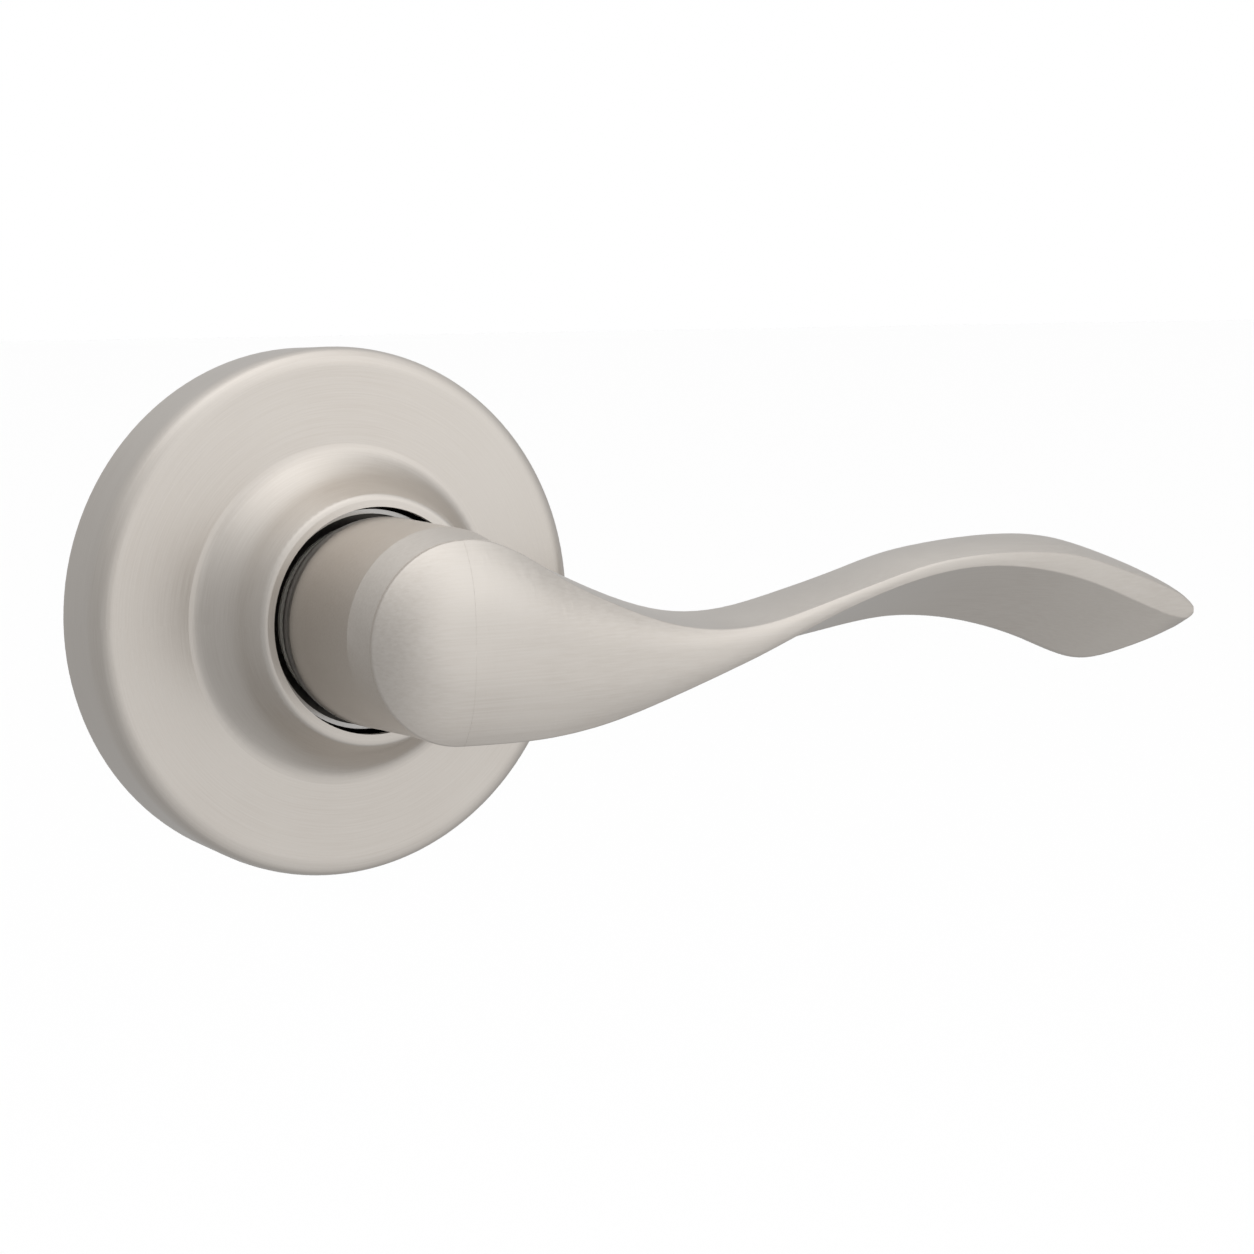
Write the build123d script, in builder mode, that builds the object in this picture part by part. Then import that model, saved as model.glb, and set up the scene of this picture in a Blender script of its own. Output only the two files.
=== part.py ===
"""Door lever trim for one side of a door: rose, spring housing, lever and spindle.

The Y axis is the spindle axis. The plane y = 0 is the face of the door, and +Y goes into the door.
The lever points along +X, and +Z is up. Distances "out" are measured from the door toward the user.
All sizes are in millimetres.
"""

import os
from math import asin, degrees, sqrt

from build123d import *

# Rose
ROSE_R = 33.25
ROSE_WALL = 1.0
RIM_R = 33.6
RIM_OUT = 7.8
FACE_OUT = 11.0
FACE_R = 30.4
COLLAR_BASE_R = 21.6
COLLAR_BASE_OUT = 11.3
LIP_OUT = 20.0
LIP_R = 15.05
LIP_HOLE_R = 14.2

# Mounting plate and posts
PLATE_R = 31.4
PLATE_T = 1.6
PLATE_HOLE_R = 9.4
POST_SPACING = 38.1
POST_R = 4.0
POST_BORE_R = 2.1
POST_LENGTH = 15.0
POST_BOSS_R = 3.2
CLIP_COUNT = 4

# Spring housing
HOUSING_R = 27.4
HOUSING_WALL = 1.4
HOUSING_OUT = 9.3
NOSE_R = 13.95
NOSE_OUT = 16.4
NOSE_RIM_OUT = 17.6
NOSE_BORE_R = 9.8
HUB_R = 11.0
HUB_BACK = 4.4
SCREW_CIRCLE_R = 23.0
SCREW_R = 1.45
SCREW_HEAD_R = 2.8
LUG_HALF_WIDTH = 2.0

# Turning parts
SLEEVE_R = 8.6
SLEEVE_BORE_R = 6.6
SLEEVE_BACK = 2.0
SLEEVE_FRONT = 34.5
SLEEVE_FLAT_Z = 7.9
DRIVE_BACK = 2.2
DRIVE_T = 1.6
DRIVE_R = 14.4
WING_R = 17.8
WING_HALF_ANGLE = 15.0
STOP_PIN_R = 1.5
STOP_CIRCLE_R = 16.5
STOP_ANGLE = 66.0
SPRING_R = 12.5
SPRING_WIRE_R = 0.6
SPRING_PITCH = 1.35
SPINDLE_SIDE = 7.9
SPINDLE_TIP = 42.0
PIN_OUT = 10.0
PIN_R = 1.2
CATCH_OUT = 27.0
CATCH_R = 2.0

# Lever
NECK_BACK = 18.5
NECK_BACK_R = 13.1
NECK_FRONT = 36.4
NECK_FRONT_R = 12.85
SOCKET_R = 8.7
SOCKET_END = 35.0
HEAD_R = 12.35
HEAD_DROP = 0.7
HEAD_OUT = 41.75
DOME = 3.0
DOME_POWER = 3.0


def door_plane(out):
    """A plane parallel to the door at a distance in front of it; extrusions go toward the user."""
    return Plane.XZ.offset(out)


def curve_value(points, x):
    """Height of the smooth curve through a few (x, height) points."""
    if x <= points[0][0]:
        return points[0][1]
    if x >= points[-1][0]:
        return points[-1][1]
    slopes = []
    for i in range(len(points)):
        low = points[max(i - 1, 0)]
        high = points[min(i + 1, len(points) - 1)]
        slopes.append((high[1] - low[1]) / (high[0] - low[0]))
    i = max(k for k in range(len(points) - 1) if points[k][0] <= x)
    span = points[i + 1][0] - points[i][0]
    t = (x - points[i][0]) / span
    start = points[i][1] * (2 * t**3 - 3 * t**2 + 1) + slopes[i] * span * (t**3 - 2 * t**2 + t)
    end = points[i + 1][1] * (3 * t**2 - 2 * t**3) + slopes[i + 1] * span * (t**3 - t**2)
    return start + end


os.makedirs("parts", exist_ok=True)

# ---------------------------------------------------------------- rose cover
with BuildPart() as rose_cover:
    with BuildSketch(Plane.XY):
        with BuildLine():
            # outside, from the door to the lip
            wall = Line((ROSE_R, 0), (RIM_R, -RIM_OUT))
            roll = Spline(
                wall @ 1,
                (RIM_R - 0.15, -9.6),
                (RIM_R - 0.55, -10.4),
                (RIM_R - 1.35, -10.82),
                (FACE_R, -FACE_OUT),
                tangents=[wall % 1, (COLLAR_BASE_R - FACE_R, FACE_OUT - COLLAR_BASE_OUT)],
            )
            face = Line(roll @ 1, (COLLAR_BASE_R, -COLLAR_BASE_OUT))
            flank = Spline(
                face @ 1,
                (19.5, -12.4),
                (17.65, -14.9),
                (16.4, -17.8),
                (15.85, -19.25),
                (LIP_R, -LIP_OUT + 0.05),
                tangents=[face % 1, (-1, -0.1)],
            )
            lip = Line(flank @ 1, (LIP_HOLE_R, -LIP_OUT))
            # inside, from the lip back to the door
            edge = Line(lip @ 1, (LIP_HOLE_R, -LIP_OUT + ROSE_WALL))
            inner_lip = Line(edge @ 1, (LIP_R - 0.3, -LIP_OUT + ROSE_WALL + 0.15))
            inner_flank = Spline(
                inner_lip @ 1,
                (15.5, -17.4),
                (16.8, -14.3),
                (18.95, -11.6),
                (COLLAR_BASE_R, -COLLAR_BASE_OUT + ROSE_WALL),
                tangents=[(1, 0.22), (1, 0.04)],
            )
            inner_face = Line(inner_flank @ 1, (FACE_R, -FACE_OUT + ROSE_WALL))
            inner_roll = ThreePointArc(inner_face @ 1, (32.1, -9.3), (RIM_R - ROSE_WALL, -RIM_OUT))
            Polyline(inner_roll @ 1, (ROSE_R - ROSE_WALL, 0), (ROSE_R, 0))
        make_face()
    revolve(axis=Axis.Y)
rose_cover.part.label = "rose_cover"
export_step(rose_cover.part, "parts/rose_cover.step")

# ---------------------------------------------------------------- mounting plate
with BuildPart() as mounting_plate:
    with BuildSketch(door_plane(0)):
        Circle(PLATE_R)
        Circle(PLATE_HOLE_R, mode=Mode.SUBTRACT)
        with Locations((POST_SPACING / 2, 0), (-POST_SPACING / 2, 0)):
            Circle(POST_BOSS_R, mode=Mode.SUBTRACT)
        with PolarLocations(SCREW_CIRCLE_R, 4, start_angle=45):
            Circle(SCREW_R + 0.1, mode=Mode.SUBTRACT)
        with PolarLocations(STOP_CIRCLE_R, 2, start_angle=270 - STOP_ANGLE, angular_range=2 * STOP_ANGLE,
                            endpoint=True):
            Circle(STOP_PIN_R, mode=Mode.SUBTRACT)
    extrude(amount=PLATE_T)
mounting_plate.part.label = "mounting_plate"
export_step(mounting_plate.part, "parts/mounting_plate.step")

# ---------------------------------------------------------------- rose clips
with BuildPart() as rose_clips:
    for k in range(CLIP_COUNT):
        with BuildSketch(Plane.XY.rotated((0, 360 * k / CLIP_COUNT, 0))):
            with BuildLine():
                Polyline(
                    (28.6, -PLATE_T),
                    (31.75, -PLATE_T),
                    (32.05, -6.4),
                    (31.7, -6.4),
                    (31.3, -PLATE_T - 0.45),
                    (28.6, -PLATE_T - 0.45),
                    close=True,
                )
            make_face()
        extrude(amount=3.5, both=True)
rose_clips.part.label = "rose_clips"
export_step(rose_clips.part, "parts/rose_clips.step")

# ---------------------------------------------------------------- spring housing
with BuildPart() as spring_housing:
    with BuildSketch(Plane.XY):
        with BuildLine():
            Polyline(
                (HOUSING_R, -PLATE_T),
                (HOUSING_R, -HOUSING_OUT),
                (NOSE_R + 0.6, -HOUSING_OUT),
                (NOSE_R, -HOUSING_OUT - 1.2),
                (NOSE_R, -NOSE_RIM_OUT + 0.2),
                (NOSE_R - 0.2, -NOSE_RIM_OUT),
                (NOSE_R - 0.75, -NOSE_RIM_OUT),
                (NOSE_R - 0.75, -NOSE_OUT),
                (NOSE_BORE_R, -NOSE_OUT),
                (NOSE_BORE_R, -HUB_BACK),
                (HUB_R, -HUB_BACK),
                (HUB_R, -HOUSING_OUT + HOUSING_WALL - 0.2),
                (HOUSING_R - HOUSING_WALL, -HOUSING_OUT + HOUSING_WALL - 0.2),
                (HOUSING_R - HOUSING_WALL, -PLATE_T),
                close=True,
            )
        make_face()
    revolve(axis=Axis.Y)
    # screw bosses against the outer wall
    with BuildSketch(door_plane(PLATE_T)):
        with PolarLocations(SCREW_CIRCLE_R + 0.4, 4, start_angle=45):
            Circle(3.0)
    extrude(amount=HOUSING_OUT - PLATE_T - 0.5)
    with BuildSketch(door_plane(PLATE_T)):
        with PolarLocations(SCREW_CIRCLE_R, 4, start_angle=45):
            Circle(SCREW_R + 0.05)
    extrude(amount=5.5, mode=Mode.SUBTRACT)
    # fixed lug between the spring's legs
    with BuildSketch(door_plane(4.6)):
        with Locations((0, 18.1)):
            Rectangle(2 * LUG_HALF_WIDTH, 1.8)
    extrude(amount=HOUSING_OUT - 4.6 - 0.5)
spring_housing.part.label = "spring_housing"
export_step(spring_housing.part, "parts/spring_housing.step")

# ---------------------------------------------------------------- housing screws
with BuildPart() as housing_screws:
    with BuildSketch(door_plane(0)):
        with PolarLocations(SCREW_CIRCLE_R, 4, start_angle=45):
            Circle(SCREW_R)
    extrude(amount=6.6)
    with BuildSketch(door_plane(0)):
        with PolarLocations(SCREW_CIRCLE_R, 4, start_angle=45):
            Circle(SCREW_HEAD_R)
    extrude(amount=-1.7)
    head_rims = housing_screws.edges().filter_by(GeomType.CIRCLE).group_by(Axis.Y)[-1]
    fillet(head_rims, radius=0.7)
    # cross recess
    with BuildSketch(door_plane(-1.7)):
        with PolarLocations(SCREW_CIRCLE_R, 4, start_angle=45):
            Rectangle(2.9, 0.7)
            Rectangle(0.7, 2.9)
    extrude(amount=1.1, mode=Mode.SUBTRACT)
housing_screws.part.label = "housing_screws"
export_step(housing_screws.part, "parts/housing_screws.step")

# ---------------------------------------------------------------- mounting posts
with BuildPart() as mounting_posts:
    with BuildSketch(door_plane(PLATE_T)):
        with Locations((POST_SPACING / 2, 0), (-POST_SPACING / 2, 0)):
            Circle(POST_BOSS_R)
    extrude(amount=-PLATE_T)
    with BuildSketch(door_plane(0)):
        with Locations((POST_SPACING / 2, 0), (-POST_SPACING / 2, 0)):
            RegularPolygon(radius=5.2, side_count=6)
    extrude(amount=-1.8)
    with BuildSketch(door_plane(0)):
        with Locations((POST_SPACING / 2, 0), (-POST_SPACING / 2, 0)):
            Circle(POST_R)
    extrude(amount=-POST_LENGTH)
    post_tips = mounting_posts.edges().filter_by(GeomType.CIRCLE).group_by(Axis.Y)[-1]
    chamfer(post_tips, length=0.7)
    with BuildSketch(door_plane(PLATE_T)):
        with Locations((POST_SPACING / 2, 0), (-POST_SPACING / 2, 0)):
            Circle(POST_BORE_R)
    extrude(amount=-POST_LENGTH - PLATE_T, mode=Mode.SUBTRACT)
mounting_posts.part.label = "mounting_posts"
export_step(mounting_posts.part, "parts/mounting_posts.step")

# ---------------------------------------------------------------- stop pins
with BuildPart() as stop_pins:
    with BuildSketch(door_plane(0)):
        with PolarLocations(STOP_CIRCLE_R, 2, start_angle=270 - STOP_ANGLE, angular_range=2 * STOP_ANGLE,
                            endpoint=True):
            Circle(STOP_PIN_R)
    extrude(amount=3.9)
    pin_tips = stop_pins.edges().filter_by(GeomType.CIRCLE).group_by(Axis.Y)[0]
    chamfer(pin_tips, length=0.3)
stop_pins.part.label = "stop_pins"
export_step(stop_pins.part, "parts/stop_pins.step")

# ---------------------------------------------------------------- hub bushing
with BuildPart() as hub_bushing:
    with BuildSketch(Plane.XY):
        with BuildLine():
            Polyline(
                (SLEEVE_R + 0.05, -HUB_BACK),
                (NOSE_BORE_R, -HUB_BACK),
                (NOSE_BORE_R, -NOSE_OUT),
                (11.9, -NOSE_OUT),
                (11.9, -NOSE_OUT - 0.5),
                (SLEEVE_R + 0.05, -NOSE_OUT - 0.5),
                close=True,
            )
        make_face()
    revolve(axis=Axis.Y)
hub_bushing.part.label = "hub_bushing"
export_step(hub_bushing.part, "parts/hub_bushing.step")

# ---------------------------------------------------------------- thrust washer
with BuildPart() as thrust_washer:
    with BuildSketch(door_plane(3.98)):
        Circle(HUB_R)
        Circle(SLEEVE_R + 0.3, mode=Mode.SUBTRACT)
    extrude(amount=HUB_BACK - 3.98)
thrust_washer.part.label = "thrust_washer"
export_step(thrust_washer.part, "parts/thrust_washer.step")

# ---------------------------------------------------------------- spring washer
with BuildPart() as spring_washer:
    with BuildSketch(Plane.XY):
        with BuildLine():
            Polyline((11.4, -16.92), (11.4, -17.14), (8.95, -17.38), (8.95, -17.16), close=True)
        make_face()
    revolve(axis=Axis.Y)
spring_washer.part.label = "spring_washer"
export_step(spring_washer.part, "parts/spring_washer.step")

# ---------------------------------------------------------------- drive sleeve
with BuildPart() as drive_sleeve:
    with BuildSketch(Plane.XY):
        with BuildLine():
            Polyline(
                (SLEEVE_BORE_R, -SLEEVE_BACK),
                (SLEEVE_R, -SLEEVE_BACK),
                (SLEEVE_R, -17.45),
                (SLEEVE_R - 0.6, -17.45),
                (SLEEVE_R - 0.6, -18.25),
                (SLEEVE_R, -18.25),
                (SLEEVE_R, -SLEEVE_FRONT + 0.8),
                (SLEEVE_R - 0.8, -SLEEVE_FRONT),
                (SLEEVE_BORE_R, -SLEEVE_FRONT),
                close=True,
            )
        make_face()
    revolve(axis=Axis.Y)
    # flat that keys the lever
    with BuildSketch(door_plane(18.4)):
        with Locations((0, SLEEVE_FLAT_Z + 1)):
            Rectangle(12, 2)
    extrude(amount=20, mode=Mode.SUBTRACT)
    # notches for the teeth of the drive plate
    with BuildSketch(door_plane(SLEEVE_BACK)):
        Rectangle(30, 3.0)
    extrude(amount=DRIVE_BACK + DRIVE_T - SLEEVE_BACK, mode=Mode.SUBTRACT)
    # catch hole in the underside
    with BuildSketch(Plane.XY.offset(-4)):
        with Locations((0, -CATCH_OUT)):
            Circle(CATCH_R + 0.06)
    extrude(amount=-8, mode=Mode.SUBTRACT)
    # cross pin hole
    with BuildSketch(Plane.YZ):
        with Locations((-PIN_OUT, 0)):
            Circle(PIN_R)
    extrude(amount=15, both=True, mode=Mode.SUBTRACT)
drive_sleeve.part.label = "drive_sleeve"
export_step(drive_sleeve.part, "parts/drive_sleeve.step")

# ---------------------------------------------------------------- drive plate
with BuildPart() as drive_plate:
    with BuildSketch(door_plane(DRIVE_BACK)):
        Circle(DRIVE_R)
        with BuildLine():
            wing = CenterArc((0, 0), WING_R, 270 - WING_HALF_ANGLE, 2 * WING_HALF_ANGLE)
            Line(wing @ 0, (0, 0))
            Line(wing @ 1, (0, 0))
        make_face()
        with Locations((0, 15)):
            Rectangle(4, 3.6)
        Circle(SLEEVE_R + 0.05, mode=Mode.SUBTRACT)
        with Locations((8.1, 0), (-8.1, 0)):
            Rectangle(2.6, 2.9)
    extrude(amount=DRIVE_T)
    # spring tab bent up from the plate's top
    with BuildSketch(door_plane(DRIVE_BACK)):
        with Locations((0, 16)):
            Rectangle(2 * LUG_HALF_WIDTH, 1.6)
    extrude(amount=7.7 - DRIVE_BACK)
drive_plate.part.label = "drive_plate"
export_step(drive_plate.part, "parts/drive_plate.step")

# ---------------------------------------------------------------- return spring
# The wire starts and ends in two straight legs that stand either side of the tab and the fixed lug.
leg_x = LUG_HALF_WIDTH + SPRING_WIRE_R + 0.15
leg_base_z = sqrt(SPRING_R**2 - leg_x**2)
leg_gap_angle = 2 * degrees(asin(leg_x / SPRING_R))
coil_turns = 2 - leg_gap_angle / 360
coil_height = SPRING_PITCH * coil_turns
coil_back = DRIVE_BACK + DRIVE_T + SPRING_WIRE_R + 0.22
coil_frame = Plane(
    origin=(0, -coil_back, 0),
    x_dir=(-leg_x, 0, leg_base_z),
    z_dir=(0, -1, 0),
)
coil = Edge.make_helix(SPRING_PITCH, coil_height, SPRING_R).moved(coil_frame.location)
with BuildPart() as return_spring:
    with BuildLine():
        add(coil)
    with BuildSketch(Plane(origin=coil @ 0, z_dir=coil % 0)):
        Circle(SPRING_WIRE_R)
    sweep()
    with Locations(coil @ 0, coil @ 1):
        Sphere(SPRING_WIRE_R)
    with BuildSketch(Plane.XY.offset(leg_base_z)):
        with Locations((-leg_x, -coil_back), (leg_x, -coil_back - coil_height)):
            Circle(SPRING_WIRE_R)
    extrude(amount=19.2 - leg_base_z)
return_spring.part.label = "return_spring"
export_step(return_spring.part, "parts/return_spring.step")

# ---------------------------------------------------------------- retaining ring
with BuildPart() as retaining_ring:
    with BuildSketch(door_plane(17.45)):
        Circle(10.7)
        Circle(SLEEVE_R - 0.55, mode=Mode.SUBTRACT)
        with Locations((0, -10)):
            Rectangle(5.5, 8, mode=Mode.SUBTRACT)
        with Locations((4.4, -9.0), (-4.4, -9.0)):
            Circle(0.7, mode=Mode.SUBTRACT)
    extrude(amount=0.8)
retaining_ring.part.label = "retaining_ring"
export_step(retaining_ring.part, "parts/retaining_ring.step")

# ---------------------------------------------------------------- spindle hub
with BuildPart() as spindle_hub:
    with BuildSketch(door_plane(4.5)):
        Circle(SLEEVE_BORE_R)
        Rectangle(SPINDLE_SIDE + 0.1, SPINDLE_SIDE + 0.1, mode=Mode.SUBTRACT)
    extrude(amount=10.5)
    with BuildSketch(Plane.YZ):
        with Locations((-PIN_OUT, 0)):
            Circle(PIN_R)
    extrude(amount=15, both=True, mode=Mode.SUBTRACT)
spindle_hub.part.label = "spindle_hub"
export_step(spindle_hub.part, "parts/spindle_hub.step")

# ---------------------------------------------------------------- spindle
with BuildPart() as spindle:
    with BuildSketch(door_plane(15.5)):
        Rectangle(SPINDLE_SIDE, SPINDLE_SIDE)
    extrude(amount=-15.5 - SPINDLE_TIP)
    chamfer(spindle.faces().sort_by(Axis.Y)[-1].edges(), length=1.0)
    chamfer(spindle.edges().filter_by(Axis.Y), length=0.4)
    with BuildSketch(Plane.YZ):
        with Locations((-PIN_OUT, 0)):
            Circle(PIN_R)
    extrude(amount=15, both=True, mode=Mode.SUBTRACT)
spindle.part.label = "spindle"
export_step(spindle.part, "parts/spindle.step")

# ---------------------------------------------------------------- spindle pin
with BuildPart() as spindle_pin:
    with BuildSketch(Plane.YZ):
        with Locations((-PIN_OUT, 0)):
            Circle(PIN_R)
    extrude(amount=8.35, both=True)
    chamfer(spindle_pin.edges().filter_by(GeomType.CIRCLE), length=0.25)
spindle_pin.part.label = "spindle_pin"
export_step(spindle_pin.part, "parts/spindle_pin.step")

# ---------------------------------------------------------------- lever catch
with BuildPart() as lever_catch:
    with BuildSketch(Plane.XY.offset(-5.6)):
        with Locations((0, -CATCH_OUT)):
            Circle(3.0)
    extrude(amount=1.0)
    with BuildSketch(Plane.XY.offset(-5.6)):
        with Locations((0, -CATCH_OUT)):
            Circle(CATCH_R)
    extrude(amount=-6.9)
    fillet(lever_catch.edges().group_by(Axis.Z)[0], radius=0.8)
lever_catch.part.label = "lever_catch"
export_step(lever_catch.part, "parts/lever_catch.step")

# ---------------------------------------------------------------- catch spring
with BuildPart() as catch_spring:
    with BuildLine():
        catch_coil = Helix(pitch=1.3, height=10.3, radius=1.8, center=(0, -CATCH_OUT, -4.3))
    with BuildSketch(Plane(origin=catch_coil @ 0, z_dir=catch_coil % 0)):
        Circle(0.25)
    sweep()
catch_spring.part.label = "catch_spring"
export_step(catch_spring.part, "parts/catch_spring.step")

# ---------------------------------------------------------------- lever handle
# Each curve is a few (distance along the lever, value) points.
FRONT_OUT = [(0, HEAD_OUT), (3, 41.77), (20, 42.2), (40, 42.4), (60, 42.0), (80, 41.0), (100, 39.2), (118, 37.2)]
DEPTH = [(0, 17.5), (20, 15.2), (40, 13), (60, 12.5), (80, 13), (92, 13.4), (102, 13.1), (106, 11.5),
         (110, 8), (113, 5), (116, 2.5), (118, 1.2)]
TOP_FRONT = [(0, 11.65), (3, 11.5), (8, 9.6), (13, 6.7), (19, 3.8), (24, 1.6), (30, -0.1), (36, -1.1), (42, -1.0),
             (51, 0.9), (61, 3.4), (69, 5.2), (77, 6.0), (85, 6.0), (95, 5.1), (108, 1.4), (113, -0.4),
             (115.5, -1.5), (117, -2.4), (118, -3.3)]
TOP_FLARE = [(0, 0.2), (3, 0.6), (8, 2.0), (14, 2.9), (24, 2.6), (36, 1.3), (44, 0.8), (52, 0.4), (61, 0.2),
             (77, 0.5), (85, 0.8), (95, 1.1), (108, 0.9), (118, 0)]
BOTTOM_FRONT = [(0, -13.05), (3, -13.1), (8, -13.1), (13, -12.8), (19, -11.9), (24.5, -10.5), (30, -8.9), (36, -6.9),
                (47.5, -2.9), (55, 0.1), (63, 2.4), (69, 3.7), (76, 4.5), (84, 4.2), (93, 2.7),
                (101, 0.3), (108, -2.3), (113, -4.1), (115.5, -4.7), (117, -4.8), (118, -4.3)]
BOTTOM_DROP = [(0, -0.7), (5, 0.0), (14, 0.6), (30, 0.9), (36, 1.2), (42, 2.0), (50, 3.7), (58, 5.7), (64, 6.2),
               (70, 7.2), (76, 8.2), (83, 9.0), (92, 10.1), (99, 10.7), (104, 10.9), (107, 9.9),
               (110, 7.7), (113, 5.1), (116, 1.8), (118, 0)]
FRONT_CROWN = [(0, DOME), (3, 2.96), (9, 2.62), (14, 2.2), (20, 1.7), (27, 1.15), (35, 0.7), (43, 0.45),
               (52, 0.25), (61, 0.12), (118, 0.1)]
TOP_CROWN = [(0, 0.2), (30, 0.2), (42, 0.3), (61, 0.5), (77, 1.0), (90, 1.4), (104, 1.5), (112, 0.8),
             (118, 0.15)]
STATIONS = [0, 1.5, 4, 9, 14, 20, 27, 35, 43, 52, 61, 70, 79, 88, 96, 102, 106, 110, 113, 115.5, 117, 118]


def lever_section(x, inset=0.0):
    """Closed outline of the lever across its length at distance x: front, top, back and bottom."""
    front = -curve_value(FRONT_OUT, x) + inset
    back = front + curve_value(DEPTH, x)
    crown = curve_value(FRONT_CROWN, x)
    top = curve_value(TOP_FRONT, x) - inset
    bottom = curve_value(BOTTOM_FRONT, x) + inset
    back_top = top + curve_value(TOP_FLARE, x)
    back_bottom = bottom - curve_value(BOTTOM_DROP, x)
    mid = (front + back) / 2
    thin = min(1.0, (top - bottom) / 4)
    with BuildSketch(Plane.YZ.offset(x)) as section:
        with BuildLine():
            Spline([
                (front - crown * (1 - abs(t) ** DOME_POWER), (top + bottom) / 2 + t * (top - bottom) / 2)
                for t in (-1, -0.75, -0.4, 0, 0.4, 0.75, 1)
            ])
            ThreePointArc((front, top), (mid, (top + back_top) / 2 + curve_value(TOP_CROWN, x)),
                          (back, back_top))
            ThreePointArc((back, back_top), (back + 0.2, (back_top + back_bottom) / 2), (back, back_bottom))
            ThreePointArc((back, back_bottom), (mid, (bottom + back_bottom) / 2 - 0.12), (front, bottom))
        make_face()
        fillet(section.vertices().sort_by(Axis.X)[:2], radius=0.28 * thin + 0.05)
        fillet(section.vertices().sort_by(Axis.X)[-2:], radius=min(1.2, 0.25 * curve_value(DEPTH, x)))
    return section.sketch.faces()[0]


arm_sections = [lever_section(x) for x in STATIONS]
with BuildSketch(Plane.YZ) as head_region:
    with Locations((-HEAD_OUT - DOME / 2 - 0.15, -HEAD_DROP)):
        Rectangle(DOME + 1.5, HEAD_R + 0.2, align=(Align.CENTER, Align.MIN))
head_profile = lever_section(0, inset=0.01) & head_region.sketch

with BuildPart() as lever_handle:
    # neck with a rounded rear end
    with BuildSketch(Plane.XY):
        with BuildLine():
            Line((0, -NECK_BACK), (NECK_BACK_R - 0.95, -NECK_BACK))
            Spline(
                (NECK_BACK_R - 0.95, -NECK_BACK),
                (NECK_BACK_R - 0.3, -NECK_BACK - 1.3),
                (NECK_BACK_R, -NECK_BACK - 3.4),
                tangents=[(1, -0.6), (0, -1)],
            )
            Polyline(
                (NECK_BACK_R, -NECK_BACK - 3.4),
                (NECK_FRONT_R, -NECK_FRONT),
                (0, -NECK_FRONT),
                (0, -NECK_BACK),
            )
        make_face()
    revolve(axis=Axis.Y)
    # tapered band from the neck to the round head, which sits a little below the neck's axis
    with BuildSketch(door_plane(NECK_FRONT)):
        Circle(NECK_FRONT_R)
    with BuildSketch(door_plane(HEAD_OUT - 0.5)):
        with Locations((0, -HEAD_DROP)):
            Circle(HEAD_R + 0.04)
    loft(ruled=True)
    # domed half of the head, turned from the arm's own first section
    revolve(head_profile, axis=Axis((0, 0, -HEAD_DROP), (0, -1, 0)), revolution_arc=180)
    # arm
    loft(sections=arm_sections)
    # socket for the sleeve, with its keying flat
    with BuildSketch(door_plane(NECK_BACK)):
        Circle(SOCKET_R)
        with Locations((0, SLEEVE_FLAT_Z + 1.05)):
            Rectangle(12, 2, mode=Mode.SUBTRACT)
    extrude(amount=SOCKET_END - NECK_BACK, mode=Mode.SUBTRACT)
    # hole for the catch
    with BuildSketch(Plane.XY.offset(-6)):
        with Locations((0, -CATCH_OUT)):
            Circle(CATCH_R + 0.15)
    extrude(amount=-10, mode=Mode.SUBTRACT)
lever_handle.part.label = "lever_handle"
export_step(lever_handle.part, "parts/lever_handle.step")
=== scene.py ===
"""Door lever trim: materials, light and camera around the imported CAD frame. Metres throughout."""

from math import cos, hypot, radians, sin

import bpy
from mathutils import Matrix, Vector


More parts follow.
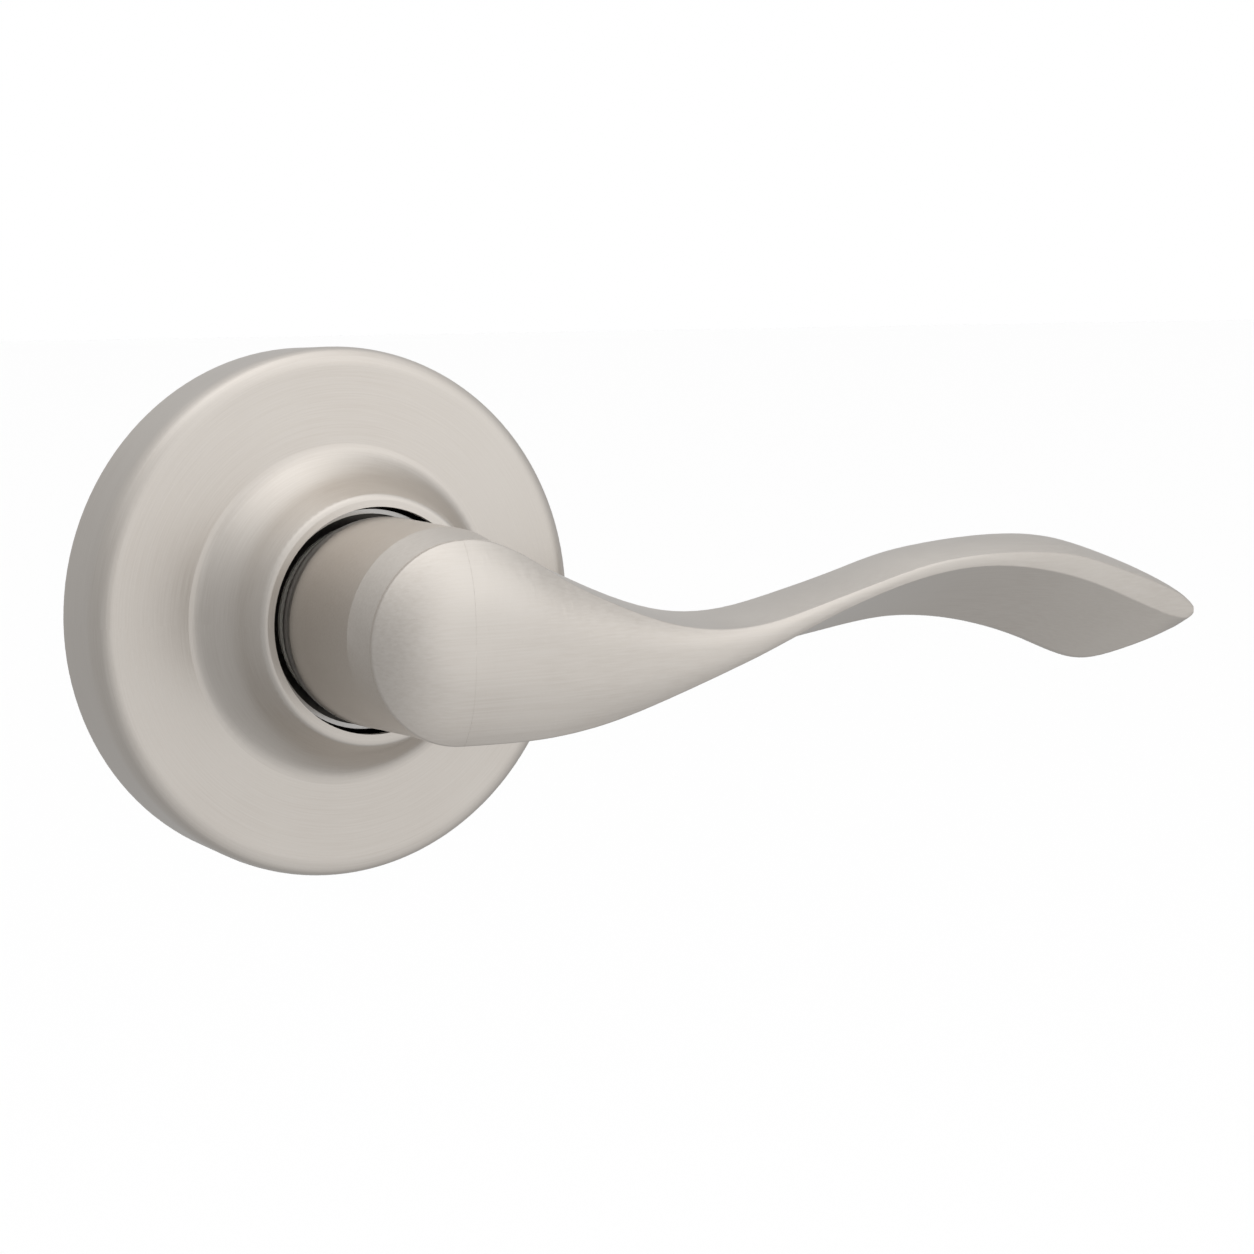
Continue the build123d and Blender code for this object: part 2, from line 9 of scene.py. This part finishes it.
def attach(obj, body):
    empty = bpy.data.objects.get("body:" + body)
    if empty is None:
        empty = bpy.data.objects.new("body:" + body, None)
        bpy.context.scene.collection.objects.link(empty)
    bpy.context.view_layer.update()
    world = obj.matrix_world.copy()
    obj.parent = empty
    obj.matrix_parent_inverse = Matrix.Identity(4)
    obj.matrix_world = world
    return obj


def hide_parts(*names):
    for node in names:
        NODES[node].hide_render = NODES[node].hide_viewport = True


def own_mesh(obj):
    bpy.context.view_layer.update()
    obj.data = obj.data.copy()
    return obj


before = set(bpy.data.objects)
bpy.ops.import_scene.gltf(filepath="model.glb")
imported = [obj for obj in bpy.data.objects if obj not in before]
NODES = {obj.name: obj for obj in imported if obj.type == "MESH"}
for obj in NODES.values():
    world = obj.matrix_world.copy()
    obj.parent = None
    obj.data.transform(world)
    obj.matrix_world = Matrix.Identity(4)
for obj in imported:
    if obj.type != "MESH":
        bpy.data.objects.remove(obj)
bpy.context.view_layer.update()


# ---------------------------------------------------------------- material helpers
class Graph:
    """Short names for building a material's nodes."""

    def __init__(self, name):
        self.mat = bpy.data.materials.new(name)
        self.mat.use_nodes = True
        self.tree = self.mat.node_tree
        self.tree.nodes.clear()
        out = self.add("ShaderNodeOutputMaterial")
        self.bsdf = self.add("ShaderNodeBsdfPrincipled")
        self.link(self.bsdf.outputs[0], out.inputs["Surface"])
        self.coords = self.add("ShaderNodeTexCoord").outputs["Object"]

    def add(self, kind, **settings):
        node = self.tree.nodes.new(kind)
        for key, value in settings.items():
            setattr(node, key, value)
        return node

    def link(self, a, b):
        self.tree.links.new(a, b)

    def put(self, socket, value):
        if hasattr(value, "links"):
            self.link(value, socket)
        else:
            socket.default_value = value

    def mapped(self, scale):
        node = self.add("ShaderNodeMapping")
        node.inputs["Scale"].default_value = scale
        self.link(self.coords, node.inputs["Vector"])
        return node.outputs[0]

    def noise(self, vector, scale, detail, roughness):
        node = self.add("ShaderNodeTexNoise")
        self.link(vector, node.inputs["Vector"])
        node.inputs["Scale"].default_value = scale
        node.inputs["Detail"].default_value = detail
        node.inputs["Roughness"].default_value = roughness
        node.inputs["Distortion"].default_value = 0.0
        return node.outputs["Fac"]

    def ramp(self, value, low, high, out_low=0.0, out_high=1.0):
        node = self.add("ShaderNodeMapRange")
        self.link(value, node.inputs["Value"])
        node.inputs["From Min"].default_value = low
        node.inputs["From Max"].default_value = high
        node.inputs["To Min"].default_value = out_low
        node.inputs["To Max"].default_value = out_high
        return node.outputs[0]

    def math(self, kind, a, b=0.0):
        node = self.add("ShaderNodeMath", operation=kind)
        self.put(node.inputs[0], a)
        self.put(node.inputs[1], b)
        return node.outputs[0]

    def mix(self, factor, a, b):
        node = self.add("ShaderNodeMix", data_type="RGBA")
        self.put(node.inputs["Factor"], factor)
        self.put(node.inputs["A"], a)
        self.put(node.inputs["B"], b)
        return node.outputs["Result"]

    def bump(self, height, strength, distance):
        node = self.add("ShaderNodeBump")
        node.inputs["Strength"].default_value = strength
        node.inputs["Distance"].default_value = distance
        self.link(height, node.inputs["Height"])
        self.link(node.outputs[0], self.bsdf.inputs["Normal"])


def rgb(r, g, b):
    return (r, g, b, 1.0)


def satin_nickel(name, grain_vector):
    """Brushed nickel plate: fine directional grain, with slow drift of colour and roughness."""
    g = Graph(name)
    b = g.bsdf
    b.inputs["Metallic"].default_value = 1.0
    grain = g.noise(grain_vector(g), 1.0, 4.0, 0.62)
    fine = g.noise(g.coords, 2600.0, 2.0, 0.5)
    cloud = g.noise(g.coords, 38.0, 3.0, 0.55)
    base = g.mix(g.ramp(cloud, 0.35, 0.65), rgb(0.545, 0.505, 0.462), rgb(0.595, 0.558, 0.515))
    base = g.mix(g.ramp(grain, 0.3, 0.7, 0.0, 0.55), base, rgb(0.66, 0.625, 0.585))
    g.link(base, b.inputs["Base Color"])
    rough = g.math("ADD", g.ramp(grain, 0.3, 0.7, 0.29, 0.38), g.ramp(cloud, 0.3, 0.7, -0.02, 0.03))
    g.link(rough, b.inputs["Roughness"])
    height = g.math("ADD", g.math("MULTIPLY", grain, 0.8), g.math("MULTIPLY", fine, 0.2))
    g.bump(height, 0.12, 0.00004)
    return g.mat


GRAIN_FINE = 5200.0
GRAIN_ROUND = 3.0


def turned_grain(g):
    """Grain that runs round the spindle axis: fine in radius and depth, long in angle."""
    sep = g.add("ShaderNodeSeparateXYZ")
    g.link(g.coords, sep.inputs[0])
    across = g.math("POWER", sep.outputs[0], 2.0)
    upward = g.math("POWER", sep.outputs[2], 2.0)
    radius = g.math("SQRT", g.math("ADD", across, upward))
    angle = g.math("ARCTAN2", sep.outputs[2], sep.outputs[0])
    comb = g.add("ShaderNodeCombineXYZ")
    g.link(g.math("MULTIPLY", radius, GRAIN_FINE), comb.inputs[0])
    g.link(g.math("MULTIPLY", angle, GRAIN_ROUND), comb.inputs[1])
    g.link(g.math("MULTIPLY", sep.outputs[1], GRAIN_FINE), comb.inputs[2])
    return comb.outputs[0]


def long_grain(g):
    """Grain that runs along the lever."""
    return g.mapped((60.0, 3600.0, 3600.0))


def plain_steel(name, dark, light, rough, grain_scale, metallic=1.0, bump=0.15):
    """Small steel, zinc or nylon parts: mottled plating, patchy roughness and fine bump."""
    g = Graph(name)
    b = g.bsdf
    b.inputs["Metallic"].default_value = metallic
    cloud = g.noise(g.coords, 120.0, 4.0, 0.6)
    fine = g.noise(g.mapped(grain_scale), 1.0, 3.0, 0.6)
    tone = g.math("ADD", g.ramp(cloud, 0.3, 0.7, 0.0, 0.6), g.ramp(fine, 0.3, 0.7, 0.0, 0.4))
    g.link(g.mix(tone, dark, light), b.inputs["Base Color"])
    g.link(g.ramp(fine, 0.25, 0.75, rough - 0.06, rough + 0.08), b.inputs["Roughness"])
    g.bump(fine, bump, 0.00005)
    return g.mat


def paint(material, *names):
    for name in names:
        data = NODES[name].data
        data.materials.clear()
        data.materials.append(material)


rose_metal = satin_nickel("satin_nickel_rose", turned_grain)
lever_metal = satin_nickel("satin_nickel_lever", long_grain)

# each metal and the nylon: darkest colour, lightest colour, roughness, grain along x, y and z
ROUND_GRAIN = (1500, 1500, 1500)
zinc_plate = plain_steel(
    "zinc_plate", rgb(0.42, 0.43, 0.45), rgb(0.60, 0.60, 0.58), 0.34, (900, 900, 900)
)
# The cast zinc colour here is painted shade: near-black, so the spring housing and spindle hub read
# as the dark hollow inside the rose collar round the lever neck.
zinc_cast_painted_shade = plain_steel(
    "zinc_cast_painted_shade", rgb(0.035, 0.033, 0.03), rgb(0.075, 0.07, 0.065), 0.36, ROUND_GRAIN, bump=0.3
)
spring_steel = plain_steel(
    "spring_steel", rgb(0.20, 0.20, 0.21), rgb(0.33, 0.33, 0.34), 0.30, (700, 4000, 700)
)
black_steel = plain_steel(
    "black_steel", rgb(0.05, 0.05, 0.055), rgb(0.11, 0.11, 0.115), 0.42, ROUND_GRAIN
)
ground_steel = plain_steel(
    "ground_steel", rgb(0.44, 0.44, 0.45), rgb(0.58, 0.58, 0.58), 0.24, (3000, 120, 3000)
)
turned_steel = plain_steel(
    "turned_steel", rgb(0.42, 0.42, 0.43), rgb(0.58, 0.58, 0.57), 0.30, (120, 5000, 120)
)
rim_steel = plain_steel(
    "rim_steel", rgb(0.34, 0.33, 0.32), rgb(0.46, 0.45, 0.44), 0.20, (4000, 400, 4000)
)
nylon = plain_steel(
    "nylon", rgb(0.62, 0.60, 0.53), rgb(0.72, 0.70, 0.63), 0.45, (1200, 1200, 1200), metallic=0.0
)

paint(rose_metal, "rose_cover")
paint(lever_metal, "lever_handle")
paint(zinc_plate, "mounting_plate", "drive_plate", "thrust_washer")
# spring housing and spindle hub take the near-black painted shade
paint(zinc_cast_painted_shade, "spring_housing", "spindle_hub")
paint(spring_steel, "rose_clips", "spring_washer", "return_spring", "catch_spring")
paint(black_steel, "retaining_ring")
paint(turned_steel, "housing_screws", "mounting_posts", "drive_sleeve")
paint(ground_steel, "spindle", "spindle_pin", "stop_pins", "lever_catch")
paint(nylon, "hub_bushing")

# the machined rim round the front of the nose, on the faces past this depth and radius
RIM_DEPTH = 0.0172
RIM_RADIUS = 0.0130
housing = NODES["spring_housing"].data
housing.materials.append(rim_steel)
for polygon in housing.polygons:
    x, y, z = polygon.center
    if y < -RIM_DEPTH and hypot(x, z) > RIM_RADIUS:
        polygon.material_index = 1

# ---------------------------------------------------------------- smooth shading
for node in NODES.values():
    if hasattr(node.data, "polygons"):
        for polygon in node.data.polygons:
            polygon.use_smooth = True

# ---------------------------------------------------------------- catch spring
# The coil as its own piece with its own mesh, attached to the lever; the real coil shortens toward
# its upper end as the catch is pressed.
coil = bpy.data.objects.new("catch_coil", NODES["catch_spring"].data.copy())
bpy.context.scene.collection.objects.link(coil)
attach(coil, "lever")
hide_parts("catch_spring")
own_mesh(coil)

# ---------------------------------------------------------------- camera
# It stands to the user's left and a little above, looking toward +X and into the door.
CAMERA_PLACE = (-0.2032, -0.4008, 0.0478)
AZIMUTH = radians(32.198)
ELEVATION = radians(6.435)
view = Vector((sin(AZIMUTH) * cos(ELEVATION), cos(AZIMUTH) * cos(ELEVATION), -sin(ELEVATION)))
right = Vector((cos(AZIMUTH), -sin(AZIMUTH), 0.0))
up = right.cross(view)
camera_data = bpy.data.cameras.new("camera")
camera_data.sensor_width = 36.0
camera_data.lens = 100.3
camera_data.clip_start = 0.02
camera_data.clip_end = 20.0
camera = bpy.data.objects.new("camera", camera_data)
turn = Matrix((right, up, -view)).transposed().to_4x4()
camera.matrix_world = Matrix.Translation(CAMERA_PLACE) @ turn
bpy.context.scene.collection.objects.link(camera)
bpy.context.scene.camera = camera

# ---------------------------------------------------------------- stage and light
FLOOR_Z = -0.26
FLOOR_HALF = 9
floor_mesh = bpy.data.meshes.new("floor")
corners = [(x * FLOOR_HALF, y * FLOOR_HALF, FLOOR_Z) for x, y in ((-1, -1), (1, -1), (1, 1), (-1, 1))]
floor_mesh.from_pydata(corners, [], [(0, 1, 2, 3)])
floor = bpy.data.objects.new("floor", floor_mesh)
bpy.context.scene.collection.objects.link(floor)
floor_look = Graph("floor")
floor_look.bsdf.inputs["Base Color"].default_value = rgb(0.96, 0.96, 0.96)
floor_look.bsdf.inputs["Roughness"].default_value = 0.9
floor_mesh.materials.append(floor_look.mat)
floor.visible_glossy = False

# A plain white studio. Each soft light is its azimuth from the user's side toward +X, its elevation,
# how tightly it is gathered (0 is even light from all round), and its strength.
SOFT_LIGHTS = {
    "all_round": (0, 90, 0, 0.5),
    "overhead": (0, 90, 3, 0.9),
    "front_key": (30, 15, 8, 0.7),
    "upper_front_fill": (0, 50, 6, 0.4),
    "floor_bounce": (30, -40, 5, 0.4),
}


def studio_world():
    """The soft lights added together, with a white backdrop where the camera sees past the object."""
    world = bpy.data.worlds.new("studio")
    world.use_nodes = True
    tree = world.node_tree
    tree.nodes.clear()

    def add(kind, **settings):
        node = tree.nodes.new(kind)
        for key, value in settings.items():
            setattr(node, key, value)
        return node

    direction = add("ShaderNodeTexCoord").outputs["Generated"]
    total = None
    for azimuth, elevation, tightness, strength in SOFT_LIGHTS.values():
        a, e = radians(azimuth), radians(elevation)
        dot = add("ShaderNodeVectorMath", operation="DOT_PRODUCT")
        tree.links.new(direction, dot.inputs[0])
        dot.inputs[1].default_value = (cos(e) * sin(a), -cos(e) * cos(a), sin(e))
        falloff = add("ShaderNodeMath", operation="MULTIPLY_ADD")
        tree.links.new(dot.outputs["Value"], falloff.inputs[0])
        falloff.inputs[1].default_value = tightness
        falloff.inputs[2].default_value = -tightness
        spread = add("ShaderNodeMath", operation="EXPONENT")
        tree.links.new(falloff.outputs[0], spread.inputs[0])
        level = add("ShaderNodeMath", operation="MULTIPLY")
        tree.links.new(spread.outputs[0], level.inputs[0])
        level.inputs[1].default_value = strength
        light = add("ShaderNodeBackground")
        light.inputs["Color"].default_value = rgb(1.0, 1.0, 1.0)
        tree.links.new(level.outputs[0], light.inputs["Strength"])
        if total is None:
            total = light.outputs[0]
        else:
            plus = add("ShaderNodeAddShader")
            tree.links.new(total, plus.inputs[0])
            tree.links.new(light.outputs[0], plus.inputs[1])
            total = plus.outputs[0]
    backdrop = add("ShaderNodeBackground")
    backdrop.inputs["Color"].default_value = rgb(1.0, 1.0, 1.0)
    seen = add("ShaderNodeLightPath")
    pick = add("ShaderNodeMixShader")
    tree.links.new(seen.outputs["Is Camera Ray"], pick.inputs[0])
    tree.links.new(total, pick.inputs[1])
    tree.links.new(backdrop.outputs[0], pick.inputs[2])
    out = add("ShaderNodeOutputWorld")
    tree.links.new(pick.outputs[0], out.inputs["Surface"])
    return world


bpy.context.scene.world = studio_world()

bpy.context.scene.view_settings.view_transform = "Standard"
